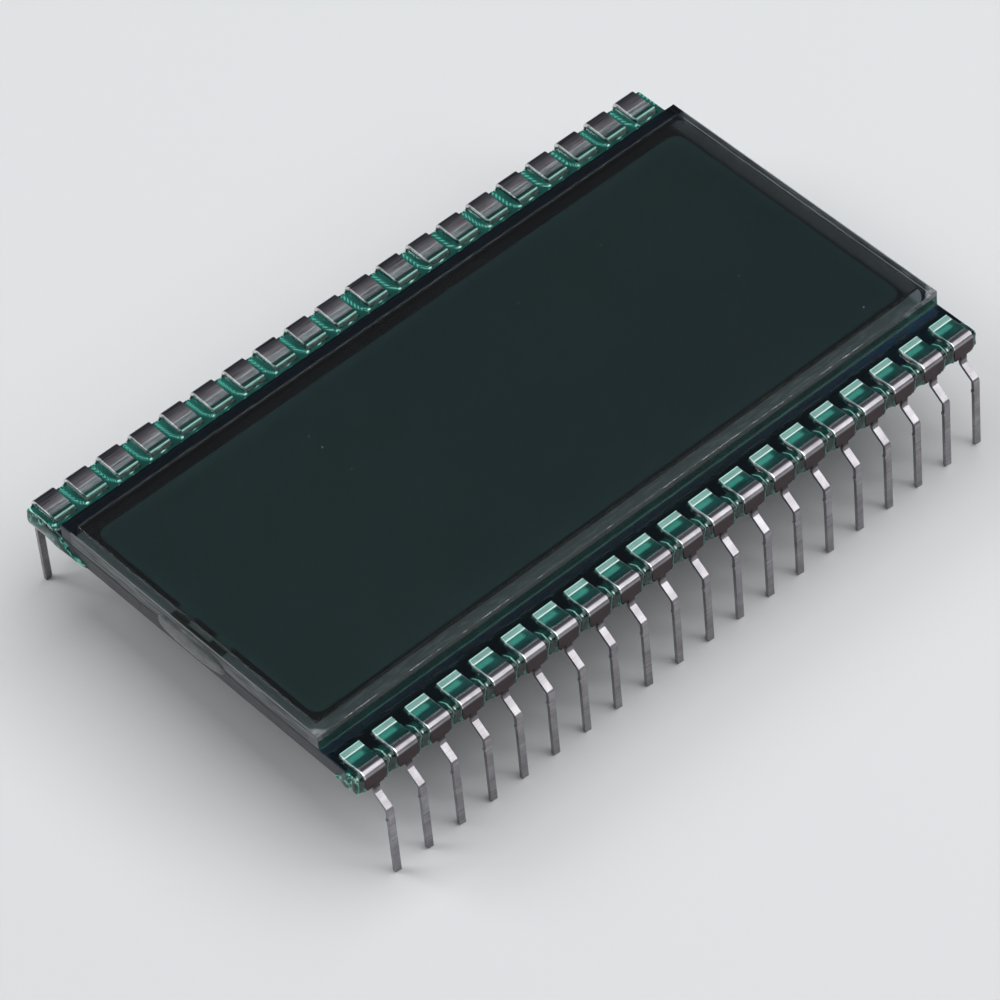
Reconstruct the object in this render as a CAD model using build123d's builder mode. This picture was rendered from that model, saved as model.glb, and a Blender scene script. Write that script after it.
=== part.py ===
from build123d import *
import math
import os

# Glass display module with two rows of edge-clip pins.
# Millimetres. X runs along the pin rows, Y across them, Z up from the leg tips.
# The origin is on the board plane that the leg tips stand on, midway between the rows.
# The near row is at -Y. A distance called reach is measured inward from the rear glass's long edge.

# Pin rows
pins_per_row = 20
pin_pitch = 2.54
row_spacing = 33.02

# Glass sandwich. The glass is one pitch long for each pin of a row
stand_off = 7.15
glass_length = pins_per_row * pin_pitch
rear_glass_width = 30.48
ledge_width = 3.29
rear_glass_thickness = 1.1
front_glass_thickness = 1.1
cell_gap = 0.05
edge_break = 0.06

# Polarizer films, set in from the front glass's ends and sides
front_film_thickness = 0.2
rear_film_thickness = 0.2
film_end_margin = 0.65
film_side_margin = 0.95

# Seal between the plates, with its fill port in the -X end
seal_margin = 0.3
view_end_margin = 1.32
view_side_margin = 1.67
view_corner = 0.8
port_width = 4.8
port_centre = -0.3
island_width = 2.0
island_depth = 0.7
plug_depth = 0.35
plug_bead_length = 6.3
plug_bead_height = 1.6
plug_bead_bulge = 0.28
plug_bead_slope = 0.3

# Stamped pin
sheet = 0.25
clip_width = 1.6
edge_clearance = 0.05
finger_reach = 2.0
contact_reach = 1.54
tip_lift = 0.075
finger_rise = 0.1
top_bend = 0.25
jaw_reach = 1.7
jaw_half_width = 0.62
slit = 0.04
shoulder_height = 0.15
shoulder_drop = 0.3
leg_width = 0.48
knee_drop = 0.65
ankle_drop = 1.5
leg_bend = 0.35
leg_end_slant = 0.1
nub_height = 4.8
nub_length = 0.34
nub_proud = 0.07

# Resin over the contacts
resin_film = 0.04
resin_thickness = 0.21
resin_wrap = 0.26
resin_skirt = 0.2
foot_width = 0.25
foot_height = 0.7
lobe_gap = 0.44
lobe_swell = 0.36
bank_taper = 60
scallop_depth = 0.16
tip_clearance = 0.03

# Resin that ran over the fill port's end of the glass
run_bulge = 0.2
run_taper = 40
run_drop = 0.06
near_run_reach = 1.6
far_run_reach = 3.4
run_tail = 0.8

# Levels and edges that follow from the sizes above
ledge_z = stand_off + rear_glass_thickness
front_glass_z = ledge_z + cell_gap
front_film_z = front_glass_z + front_glass_thickness
rear_film_z = stand_off - rear_film_thickness
rear_edge = rear_glass_width / 2
front_glass_width = rear_glass_width - 2 * ledge_width
front_edge = front_glass_width / 2
film_length = glass_length - 2 * film_end_margin
film_width = front_glass_width - 2 * film_side_margin
view_length = glass_length - 2 * view_end_margin
view_width = front_glass_width - 2 * view_side_margin
glass_end = glass_length / 2
web_middle = rear_edge + edge_clearance + sheet / 2
leg_middle = row_spacing / 2
tip_edge = rear_edge - finger_reach
resin_top = ledge_z + resin_thickness
pin_places = [(index - (pins_per_row - 1) / 2) * pin_pitch for index in range(pins_per_row)]
gap_places = [place + pin_pitch / 2 for place in pin_places[:-1]]


def write(piece, name):
    """Label one finished piece and write its STEP file."""
    piece.part.label = name
    export_step(piece.part, f"parts/{name}.step")


def bent_path(points, radii, flats=2):
    """Middle line of a bent sheet, with each bend as a few equal flats because the pin repeats so often."""
    corners = [Vector(*point) for point in points]
    path = [corners[0]]
    for before, corner, after, radius in zip(corners, corners[1:], corners[2:], radii):
        incoming = (corner - before).normalized()
        outgoing = (after - corner).normalized()
        turn = incoming.get_signed_angle(outgoing, Vector(0, 0, 1))
        start = corner - incoming * radius * math.tan(math.radians(abs(turn)) / 2)
        bend = JernArc(start, incoming, radius, turn)
        path += [bend @ (step / flats) for step in range(flats + 1)]
    return path + [corners[-1]]


os.makedirs("parts", exist_ok=True)

# Glass plates, with the scribed edges broken
with BuildPart(Plane.XY.offset(stand_off)) as rear_glass:
    Box(glass_length, rear_glass_width, rear_glass_thickness, align=(Align.CENTER, Align.CENTER, Align.MIN))
    chamfer(rear_glass.edges(), length=edge_break)
write(rear_glass, "rear_glass")

with BuildPart(Plane.XY.offset(front_glass_z)) as front_glass:
    Box(glass_length, front_glass_width, front_glass_thickness, align=(Align.CENTER, Align.CENTER, Align.MIN))
    chamfer(front_glass.edges(), length=edge_break)
write(front_glass, "front_glass")

# Polarizer films on the two outer faces
with BuildPart() as front_polarizer:
    with BuildSketch(Plane.XY.offset(front_film_z)):
        Rectangle(film_length, film_width)
    extrude(amount=front_film_thickness)
write(front_polarizer, "front_polarizer")

with BuildPart() as rear_polarizer:
    with BuildSketch(Plane.XY.offset(rear_film_z)):
        Rectangle(film_length, film_width)
    extrude(amount=rear_film_thickness)
write(rear_polarizer, "rear_polarizer")

# Seal ring, whose port walls run out to the glass end
seal_end = glass_end - seal_margin
seal_wall = seal_end - view_length / 2
port_mouth = (-(glass_end + view_length / 2) / 2, port_centre)
with BuildPart() as perimeter_seal:
    with BuildSketch(Plane.XY.offset(ledge_z)):
        RectangleRounded(2 * seal_end, front_glass_width - 2 * seal_margin, view_corner + seal_wall / 2)
        with Locations(port_mouth):
            Rectangle(glass_end - view_length / 2 - edge_break, port_width + 2 * seal_wall)
        RectangleRounded(view_length, view_width, view_corner, mode=Mode.SUBTRACT)
        with Locations(port_mouth):
            Rectangle(glass_length - view_length, port_width, mode=Mode.SUBTRACT)
    extrude(amount=cell_gap)
write(perimeter_seal, "perimeter_seal")

# Island that keeps the plates apart in the middle of the port
island_centre = (-(view_length / 2 + island_depth / 2), port_centre)
with BuildPart() as port_island:
    with BuildSketch(Plane.XY.offset(ledge_z)):
        with Locations(island_centre):
            Rectangle(island_depth, island_width)
    extrude(amount=cell_gap)
write(port_island, "port_island")

# Liquid crystal, out to the plug in the port
plug_face = glass_end - plug_depth
with BuildPart() as liquid_crystal:
    with BuildSketch(Plane.XY.offset(ledge_z)):
        RectangleRounded(view_length, view_width, view_corner)
        with Locations((-plug_face / 2, port_centre)):
            Rectangle(plug_face, port_width)
        with Locations(island_centre):
            Rectangle(island_depth, island_width, mode=Mode.SUBTRACT)
    extrude(amount=cell_gap)
write(liquid_crystal, "liquid_crystal")

# Plug in the port, with its bead over the joint between the plates
plug_middle = (port_centre, ledge_z + cell_gap / 2)
with BuildPart() as end_seal:
    with BuildSketch(Plane.YZ.offset(-glass_end)):
        with Locations(plug_middle):
            RectangleRounded(plug_bead_length, plug_bead_height, plug_bead_height / 3)
    with BuildSketch(Plane.YZ.offset(-glass_end - plug_bead_bulge)):
        with Locations(plug_middle):
            RectangleRounded(
                plug_bead_length - 2 * plug_bead_slope,
                plug_bead_height - 2 * plug_bead_slope,
                plug_bead_height / 3 - plug_bead_slope / 2,
            )
    loft(ruled=True)
    with BuildSketch(Plane.XY.offset(ledge_z)):
        with Locations((-(plug_face + glass_end) / 2, port_centre)):
            Rectangle(plug_depth, port_width)
    extrude(amount=cell_gap)
write(end_seal, "end_seal")

# Stamped pin of the +Y row: finger, web, two lower prongs and a cranked leg, in one sheet
finger_middle = ledge_z + sheet / 2
jaw_middle = stand_off - sheet / 2
jaw_bend = edge_clearance + sheet / 2
shoulder_z = stand_off + shoulder_height
slot_width = leg_width + 2 * slit
clip_path = bent_path(
    [
        (rear_edge - contact_reach, finger_middle),
        (web_middle, finger_middle + finger_rise),
        (web_middle, jaw_middle),
        (rear_edge - jaw_reach, jaw_middle),
    ],
    [top_bend, jaw_bend],
)
leg_path = bent_path(
    [
        (web_middle, shoulder_z),
        (web_middle, stand_off - knee_drop),
        (leg_middle, stand_off - ankle_drop),
        (leg_middle, 0),
    ],
    [leg_bend, leg_bend],
)
with BuildPart() as pin:
    with BuildSketch(Plane.YZ):
        with BuildLine():
            Polyline((tip_edge, finger_middle + tip_lift), *clip_path)
        trace(line_width=sheet)
    extrude(amount=clip_width / 2, both=True)
    # Lower corners of the web cut back, and the prongs narrower than it
    with BuildSketch(Plane.XZ.offset(-rear_edge)):
        for side in (-1, 1):
            with BuildLine():
                Polyline(
                    (side * clip_width / 2, shoulder_z),
                    (side * clip_width, shoulder_z),
                    (side * clip_width, 0),
                    (side * jaw_half_width, 0),
                    (side * jaw_half_width, shoulder_z - shoulder_drop),
                    (side * clip_width / 2, shoulder_z),
                )
            make_face()
    extrude(amount=-sheet - edge_clearance - tip_clearance, mode=Mode.SUBTRACT)
    with BuildSketch(Plane.XY.offset(stand_off)):
        for side in (-1, 1):
            with Locations((side * (jaw_half_width + clip_width / 2), rear_edge / 2)):
                Rectangle(clip_width, rear_edge)
        with Locations((0, leg_middle / 2)):
            Rectangle(slot_width, leg_middle)
    extrude(amount=-stand_off, mode=Mode.SUBTRACT)
    with BuildSketch(Plane.YZ):
        with BuildLine():
            Polyline(*leg_path)
        trace(line_width=sheet)
    extrude(amount=leg_width / 2, both=True)
    # Slanted shear cut at the leg's end, and the stub of the cut tie bar on its edge
    with BuildSketch(Plane.XZ.offset(-leg_middle)):
        with BuildLine():
            Polyline(
                (-leg_width / 2, 0),
                (leg_width / 2, 0),
                (leg_width / 2, leg_end_slant),
                (-leg_width / 2, 0),
            )
        make_face()
    extrude(amount=sheet, both=True, mode=Mode.SUBTRACT)
    with Locations((leg_width / 2 + nub_proud / 2, leg_middle, nub_height)):
        Box(nub_proud, sheet, nub_length)

for index, place in enumerate(pin_places):
    with BuildPart() as near_pin:
        with Locations((place, 0, 0)):
            add(pin.part, rotation=(0, 0, 180))
    write(near_pin, f"pin_{index + 1:02d}")
    with BuildPart() as far_pin:
        with Locations((-place, 0, 0)):
            add(pin.part)
    write(far_pin, f"pin_{index + 1 + pins_per_row:02d}")

# Resin of the +Y row: a film from the front glass's foot, a lobed bank round the fingers
# and a skirt over the rear glass's edge
film_top = ledge_z + resin_film
lobe_edge = front_edge + lobe_gap
cusp_edge = lobe_edge + lobe_swell
resin_outer = rear_edge + resin_wrap
gap_width = pin_pitch - clip_width
with BuildPart() as resin:
    # Bank, drawn out into a lobe in front of each finger tip
    with BuildSketch(Plane.XY.offset(film_top)):
        with BuildLine():
            for place in pin_places:
                ThreePointArc(
                    (place - pin_pitch / 2, cusp_edge),
                    (place, lobe_edge),
                    (place + pin_pitch / 2, cusp_edge),
                )
            Polyline(
                (pin_places[-1] + pin_pitch / 2, cusp_edge),
                (pin_places[-1] + pin_pitch / 2, resin_outer + pin_pitch),
                (pin_places[0] - pin_pitch / 2, resin_outer + pin_pitch),
                (pin_places[0] - pin_pitch / 2, cusp_edge),
            )
        make_face()
    extrude(amount=resin_top - film_top, taper=bank_taper)
    with Locations((0, resin_outer, film_top)):
        Box(
            2 * glass_length,
            2 * pin_pitch,
            resin_thickness,
            align=(Align.CENTER, Align.MIN, Align.MIN),
            mode=Mode.SUBTRACT,
        )
    # Film over the ledge, with a meniscus up the front glass's foot
    with BuildSketch(Plane.YZ.offset(-glass_end)):
        with BuildLine():
            RadiusArc((front_edge + foot_width, film_top), (front_edge, ledge_z + foot_height), -foot_height)
            Polyline(
                (front_edge, ledge_z + foot_height),
                (front_edge, ledge_z),
                (rear_edge, ledge_z),
                (rear_edge, film_top),
                (front_edge + foot_width, film_top),
            )
        make_face()
    extrude(amount=glass_length)
    # Skirt down the glass edge, hollowed between the webs
    with BuildSketch(Plane.XY.offset(stand_off - resin_skirt)):
        with Locations((0, rear_edge)):
            Rectangle(glass_length, resin_wrap, align=(Align.CENTER, Align.MIN))
        for place in gap_places:
            with BuildLine():
                ThreePointArc(
                    (place - gap_width / 2, resin_outer),
                    (place, resin_outer - scallop_depth),
                    (place + gap_width / 2, resin_outer),
                )
                Line((place + gap_width / 2, resin_outer), (place - gap_width / 2, resin_outer))
            make_face(mode=Mode.SUBTRACT)
    extrude(amount=resin_top - stand_off + resin_skirt)
    # Room for the clips
    finger_room = finger_reach + tip_clearance + resin_wrap
    with Locations(*[(place, resin_outer, ledge_z) for place in pin_places]):
        Box(
            clip_width,
            finger_room,
            resin_thickness,
            align=(Align.CENTER, Align.MAX, Align.MIN),
            mode=Mode.SUBTRACT,
        )
        Box(
            clip_width,
            resin_wrap,
            rear_glass_thickness + resin_skirt,
            align=(Align.CENTER, Align.MAX, Align.MAX),
            mode=Mode.SUBTRACT,
        )

# Each row's bead, with the run down the end of the rear glass
run_top = resin_top - run_drop
run_foot = stand_off - resin_skirt
for side, name, turn, reach in (
    (-1, "resin_bead_near", 180, near_run_reach),
    (1, "resin_bead_far", 0, far_run_reach),
):
    with BuildPart() as resin_bead:
        add(resin.part, rotation=(0, 0, turn))
        with BuildSketch(Plane.YZ.offset(-glass_end)):
            with BuildLine():
                Polyline(
                    (side * resin_outer, run_top),
                    (side * (rear_edge - reach), run_top),
                    (side * (rear_edge - reach - run_tail), (run_top + stand_off) / 2),
                    (side * (rear_edge - reach), stand_off),
                    (side * resin_outer, run_foot),
                    (side * resin_outer, run_top),
                )
            make_face()
        extrude(amount=-run_bulge, taper=run_taper)
    write(resin_bead, name)
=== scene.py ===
"""Looks of the glass display module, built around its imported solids.

Sizes are given in millimetres and turned into metres by MM. X runs along the pin rows, Y across them
and Z up from the leg tips. A point called v lies that far from the middle plane, on either row.
"""

import logging
import math
from collections.abc import Iterator
from contextlib import contextmanager
from dataclasses import dataclass, field
from enum import Enum
from typing import NamedTuple

import bmesh
import bpy
import numpy as np
from mathutils import Matrix, Vector, noise

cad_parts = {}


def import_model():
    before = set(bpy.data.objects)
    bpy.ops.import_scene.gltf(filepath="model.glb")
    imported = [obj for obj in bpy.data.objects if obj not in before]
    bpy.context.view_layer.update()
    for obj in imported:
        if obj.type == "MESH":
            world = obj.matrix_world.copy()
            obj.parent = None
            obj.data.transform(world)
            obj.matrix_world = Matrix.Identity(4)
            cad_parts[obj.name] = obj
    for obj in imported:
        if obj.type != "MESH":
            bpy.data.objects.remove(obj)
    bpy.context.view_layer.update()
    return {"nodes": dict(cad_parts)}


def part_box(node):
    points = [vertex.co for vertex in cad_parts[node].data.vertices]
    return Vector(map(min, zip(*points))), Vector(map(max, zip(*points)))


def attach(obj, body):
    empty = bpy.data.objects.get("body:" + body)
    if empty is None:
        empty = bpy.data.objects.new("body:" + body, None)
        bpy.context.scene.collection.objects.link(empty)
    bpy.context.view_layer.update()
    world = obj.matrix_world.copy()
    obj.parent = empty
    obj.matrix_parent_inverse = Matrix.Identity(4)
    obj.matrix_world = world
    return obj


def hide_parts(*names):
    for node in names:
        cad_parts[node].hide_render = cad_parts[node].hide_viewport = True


MM = 0.001
TOUCH = 1e-4
LOG = logging.getLogger("display_module")

Point2 = tuple[float, float]
Point3 = tuple[float, float, float]
Colour = tuple[float, float, float]
Socket = bpy.types.NodeSocket


class Side(Enum):
    """The two pin rows, by the sign of their Y."""

    NEAR = -1
    FAR = 1


class Slot(Enum):
    """Material slots of the record."""

    GLASS = "glass"
    POLARIZER = "polarizer"
    SEAL = "seal"
    LIQUID_CRYSTAL = "liquid_crystal"
    PLUG = "plug"
    RESIN = "resin"
    PIN = "pin"


# Shared mesh and node helpers


def rounded_path(corners: list[Point2], radii: list[float], steps: int) -> list[Point2]:
    """Points along a polyline whose inner corners are arcs.

    Args:
        corners: the polyline's corners.
        radii: one radius for each inner corner.
        steps: chords in each arc.

    Returns:
        The points, ends included.
    """
    path = [Vector(corners[0])]
    for before, corner, after, radius in zip(corners, corners[1:], corners[2:], radii):
        here = Vector(corner)
        incoming = (here - Vector(before)).normalized()
        outgoing = (Vector(after) - here).normalized()
        turn = incoming.angle_signed(outgoing)
        start = here - incoming * radius * math.tan(abs(turn) / 2)
        normal = Vector((incoming.y, -incoming.x)) * math.copysign(1, turn)
        centre = start + normal * radius
        for step in range(steps + 1):
            angle = -turn * step / steps
            arm = start - centre
            arm = Vector(
                (
                    arm.x * math.cos(angle) - arm.y * math.sin(angle),
                    arm.x * math.sin(angle) + arm.y * math.cos(angle),
                )
            )
            path.append(centre + arm)
    path.append(Vector(corners[-1]))
    return [(point.x, point.y) for point in path]


def smooth(value: np.ndarray, low: float, high: float) -> np.ndarray:
    """Smooth step from 0 at low to 1 at high."""
    share = np.clip((value - low) / (high - low), 0, 1)
    return share * share * (3 - 2 * share)


def add_object(name: str, mesh: bpy.types.Mesh) -> bpy.types.Object:
    """Link a mesh into the scene as an object at the origin.

    Args:
        name: the object's name.
        mesh: its mesh, in metres.

    Returns:
        The object.
    """
    piece = bpy.data.objects.new(name, mesh)
    bpy.context.scene.collection.objects.link(piece)
    return piece


@contextmanager
def edited(mesh: bpy.types.Mesh) -> Iterator[bmesh.types.BMesh]:
    """Open a mesh for editing and write it back at the end.

    Args:
        mesh: the mesh.

    Yields:
        Its editable form.
    """
    build = bmesh.new()
    build.from_mesh(mesh)
    yield build
    build.to_mesh(mesh)
    build.free()


def mesh_from(name: str, points: np.ndarray, faces: list[tuple[int, ...]]) -> bpy.types.Mesh:
    """Mesh from points in millimetres and faces, with its normals turned outward.

    Args:
        name: the mesh's name.
        points: rows of x, y, z in millimetres.
        faces: vertex numbers of each face.

    Returns:
        The mesh, in metres.
    """
    mesh = bpy.data.meshes.new(name)
    mesh.from_pydata((np.asarray(points) * MM).tolist(), [], faces)
    with edited(mesh) as build:
        bmesh.ops.remove_doubles(build, verts=build.verts, dist=TOUCH * MM)
        bmesh.ops.recalc_face_normals(build, faces=build.faces)
    return mesh


def baked(piece: bpy.types.Object) -> bpy.types.Object:
    """Turn a piece's live modifiers into a plain mesh.

    Args:
        piece: the object with modifiers.

    Returns:
        The same object, with its evaluated mesh and no modifier.
    """
    graph = bpy.context.evaluated_depsgraph_get()
    mesh = bpy.data.meshes.new_from_object(piece.evaluated_get(graph))
    piece.modifiers.clear()
    piece.data = mesh
    return piece


def shade(piece: bpy.types.Object, degrees: float) -> None:
    """Smooth a piece's faces where they meet at less than an angle."""
    piece.data.shade_smooth()
    piece.data.set_sharp_from_angle(angle=math.radians(degrees))


def declare(piece: bpy.types.Object, slot: Slot, *nodes: str) -> None:
    """Put a piece on the body, hide the nodes it stands for, and log it with their names.

    Args:
        piece: the finished piece.
        slot: the record's slot of its finish; not used.
        nodes: the solids that it replaces, if any.
    """
    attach(piece, "root")
    if nodes:
        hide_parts(*nodes)
    LOG.info("%s: %d faces, for %s", piece.name, len(piece.data.polygons), ", ".join(nodes) or "itself")


def finished(
    name: str, mesh: bpy.types.Mesh, finish: bpy.types.Material, degrees: float, slot: Slot, *nodes: str
) -> bpy.types.Object:
    """Args:
        name: the piece's name.
        mesh: its mesh.
        finish: its material.
        degrees: faces that meet at less than this angle are smoothed.
        slot: the record's slot of its finish.
        nodes: the solids that it replaces, if any.

    Returns:
        The piece.
    """
    piece = add_object(name, mesh)
    mesh.materials.append(finish)
    shade(piece, degrees)
    declare(piece, slot, *nodes)
    return piece


@dataclass
class Shader:
    """A material's node tree and the few nodes that every finish uses."""

    name: str
    material: bpy.types.Material = field(init=False)
    main: bpy.types.Node = field(init=False)

    def __post_init__(self) -> None:
        """Make the material with one Principled shader."""
        self.material = bpy.data.materials.new(self.name)
        self.material.use_nodes = True
        self.main = self.material.node_tree.nodes["Principled BSDF"]

    def node(self, kind: str, **settings: object) -> bpy.types.Node:
        """Add a node.

        Args:
            kind: the node's type.
            settings: properties to set on it.

        Returns:
            The node.
        """
        made = self.material.node_tree.nodes.new(kind)
        for key, value in settings.items():
            setattr(made, key, value)
        return made

    def link(self, source: Socket, target: Socket) -> None:
        """Join two sockets."""
        self.material.node_tree.links.new(source, target)

    def put(self, **values: object) -> None:
        """Set sockets of the Principled shader, with underscores for the spaces in their names."""
        for key, value in values.items():
            self.main.inputs[key.replace("_", " ")].default_value = value

    def place(self, scale: Point3) -> Socket:
        """Object coordinates in millimetres, stretched.

        Args:
            scale: how much each axis is stretched.

        Returns:
            The coordinates.
        """
        coordinates = self.node("ShaderNodeTexCoord")
        mapping = self.node("ShaderNodeMapping")
        mapping.inputs["Scale"].default_value = [part / MM for part in scale]
        self.link(coordinates.outputs["Object"], mapping.inputs["Vector"])
        return mapping.outputs["Vector"]

    def axis(self, letter: str) -> Socket:
        """One object coordinate.

        Args:
            letter: X, Y or Z.

        Returns:
            The coordinate, in metres.
        """
        coordinates = self.node("ShaderNodeTexCoord")
        split = self.node("ShaderNodeSeparateXYZ")
        self.link(coordinates.outputs["Object"], split.inputs["Vector"])
        return split.outputs[letter]

    def math(self, operation: str, first: Socket, second: Socket | float = 0.0) -> Socket:
        """Math node.

        Args:
            operation: what it works out.
            first: first value.
            second: second value, a number or another node's.

        Returns:
            The result.
        """
        made = self.node("ShaderNodeMath", operation=operation)
        self.link(first, made.inputs[0])
        if isinstance(second, Socket):
            self.link(second, made.inputs[1])
        else:
            made.inputs[1].default_value = second
        return made.outputs["Value"]

    def noise(self, scale: Point3, detail: float = 4.0) -> Socket:
        """Noise texture.

        Args:
            scale: waves in each millimetre along each axis.
            detail: octaves.

        Returns:
            The value, about a half on average.
        """
        made = self.node("ShaderNodeTexNoise")
        made.inputs["Scale"].default_value = 1.0
        made.inputs["Detail"].default_value = detail
        self.link(self.place(scale), made.inputs["Vector"])
        return made.outputs["Fac"]

    def between(
        self, value: Socket, low: float, high: float, to_low: float = 0, to_high: float = 1
    ) -> Socket:
        """Map a value from one range to another, held at its ends.

        Args:
            value: the value.
            low: start of its range.
            high: end of its range.
            to_low: result at low.
            to_high: result at high.

        Returns:
            The result.
        """
        made = self.node("ShaderNodeMapRange")
        for key, number in zip(("From Min", "From Max", "To Min", "To Max"), (low, high, to_low, to_high)):
            made.inputs[key].default_value = number
        self.link(value, made.inputs["Value"])
        return made.outputs["Result"]

    def along(
        self, value: Socket, low: float, high: float, to_low: float = 0, to_high: float = 1
    ) -> Socket:
        """Map a length, whose range is given in millimetres, as between does."""
        return self.between(value, low * MM, high * MM, to_low, to_high)

    def mix(self, share: Socket, first: Colour | Socket, second: Colour) -> Socket:
        """Blend two colours.

        Args:
            share: share of the second.
            first: a colour, or another node's.
            second: a colour.

        Returns:
            The blend.
        """
        made = self.node("ShaderNodeMix", data_type="RGBA")
        if isinstance(first, Socket):
            self.link(first, made.inputs["A"])
        else:
            made.inputs["A"].default_value = (*first, 1)
        made.inputs["B"].default_value = (*second, 1)
        self.link(share, made.inputs["Factor"])
        return made.outputs["Result"]

    def pass_lamps(self, tint: Colour) -> None:
        """Let the lamps' light through, so that what lies under the surface is lit.

        Args:
            tint: colour of the light that passes.
        """
        rays = self.node("ShaderNodeLightPath")
        clear = self.node("ShaderNodeBsdfTransparent")
        clear.inputs["Color"].default_value = (*tint, 1)
        mixer = self.node("ShaderNodeMixShader")
        self.link(rays.outputs["Is Shadow Ray"], mixer.inputs["Fac"])
        self.link(self.main.outputs["BSDF"], mixer.inputs[1])
        self.link(clear.outputs["BSDF"], mixer.inputs[2])
        self.link(mixer.outputs["Shader"], self.material.node_tree.nodes["Material Output"].inputs["Surface"])

    def bump(self, height: Socket, depth: float, strength: float) -> None:
        """Bump the main shader.

        Args:
            height: height from 0 to 1.
            depth: millimetres of its full range.
            strength: share of the bump used.
        """
        made = self.node("ShaderNodeBump")
        made.inputs["Strength"].default_value = strength
        made.inputs["Distance"].default_value = depth * MM
        self.link(height, made.inputs["Height"])
        self.link(made.outputs["Normal"], self.main.inputs["Normal"])


# Finishes


@dataclass(frozen=True)
class TinnedSheet:
    """Dull tin plate on stamped spring sheet, with roll lines along the rows and a mottled tone."""

    bright: Colour = (0.39, 0.38, 0.4)
    dark: Colour = (0.22, 0.205, 0.22)
    # Painted highlight along the left edge of each clip and across the finger tips.
    edge_highlight: Colour = (0.85, 0.84, 0.85)
    # Painted dark reflection on the webs.
    web: Colour = (0.055, 0.04, 0.042)
    # Painted dark reflection on the fingers towards the top bend.
    painted_dark: Colour = (0.05, 0.05, 0.065)
    roughness: Point2 = (0.26, 0.4)
    pitch: float = 2.54
    whole_pitches: int = 20
    half_width: float = 0.8
    edge: float = 0.08
    tip_v: float = 13.24
    # Heights where the painted dark reflection on the webs fades in at the top and out at the bottom.
    web_top: Point2 = (8.26, 8.12)
    web_low: Point2 = (6.7, 6.95)
    # Where the painted dark reflection lies on the fingers.
    dark_reflection_v: Point2 = (14.05, 15.02)
    dark_reflection_share: float = 0.9
    dark_reflection_end: Point2 = (15.44, 15.52)
    near_shine: Point2 = (-15.3, -15.2)
    line_scale: Point3 = (0.35, 9.0, 9.0)
    cloud_scale: Point3 = (0.9, 0.9, 0.9)
    mottle: Point2 = (0.12, 0.42)
    line_range: Point2 = (0.3, 0.7)
    line_depth: float = 0.006
    line_strength: float = 0.5

    def build(self) -> bpy.types.Material:
        """Make the material.

        Returns:
            The material.
        """
        shader = Shader("tinned_sheet")
        lines = shader.noise(self.line_scale, 5.0)
        cloud = shader.noise(self.cloud_scale, 3.0)
        share = shader.between(shader.math("MULTIPLY", lines, cloud), *self.mottle)
        # Painted dark reflection on the fingers towards the top bend.
        face = shader.mix(self._dark_reflection(shader), shader.mix(share, self.dark, self.bright), self.painted_dark)
        # Painted highlight on the left edges and the tips.
        face = shader.mix(self._edge_highlights(shader), face, self.edge_highlight)
        # Painted dark reflection on the webs.
        shader.link(shader.mix(self._web_dark_reflection(shader), face, self.web), shader.main.inputs["Base Color"])
        rough = shader.between(lines, *self.line_range, *self.roughness)
        shader.link(rough, shader.main.inputs["Roughness"])
        shader.bump(lines, self.line_depth, self.line_strength)
        shader.put(Metallic=1.0)
        return shader.material

    def _edge_highlights(self, shader: Shader) -> Socket:
        """Share of painted highlight, along the left side of each clip and across the finger tips.

        Args:
            shader: the finish's node tree.

        Returns:
            The share, from 0 to 1.
        """
        gap = self.pitch / 2 - self.half_width
        shifted = shader.math("ADD", shader.axis("X"), self.whole_pitches * self.pitch * MM)
        aside = shader.math("MODULO", shifted, self.pitch * MM)
        sides = shader.along(aside, gap + self.edge, gap + self.edge * 0.7)
        away = shader.math("ABSOLUTE", shader.axis("Y"))
        tips = shader.along(away, self.tip_v + 0.08, self.tip_v + 0.05)
        return shader.math("MAXIMUM", sides, tips)

    def _dark_reflection(self, shader: Shader) -> Socket:
        """Share of painted dark reflection, growing towards the top bend and ending where the near bends
        shine.

        Args:
            shader: the finish's node tree.

        Returns:
            The share, from 0 to 1.
        """
        away = shader.math("ABSOLUTE", shader.axis("Y"))
        grows = shader.along(away, *self.dark_reflection_v, 0, self.dark_reflection_share)
        ends = shader.along(away, *self.dark_reflection_end, 1, 0)
        near = shader.along(shader.axis("Y"), *self.near_shine)
        return shader.math("MULTIPLY", shader.math("MULTIPLY", grows, ends), near)

    def _web_dark_reflection(self, shader: Shader) -> Socket:
        """Share of the painted dark reflection on the web, between the top bend and the knee.

        Args:
            shader: the finish's node tree.

        Returns:
            The share, from 0 to 1.
        """
        below = shader.along(shader.axis("Z"), *self.web_top)
        above = shader.along(shader.axis("Z"), *self.web_low)
        return shader.math("MULTIPLY", below, above)


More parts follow.
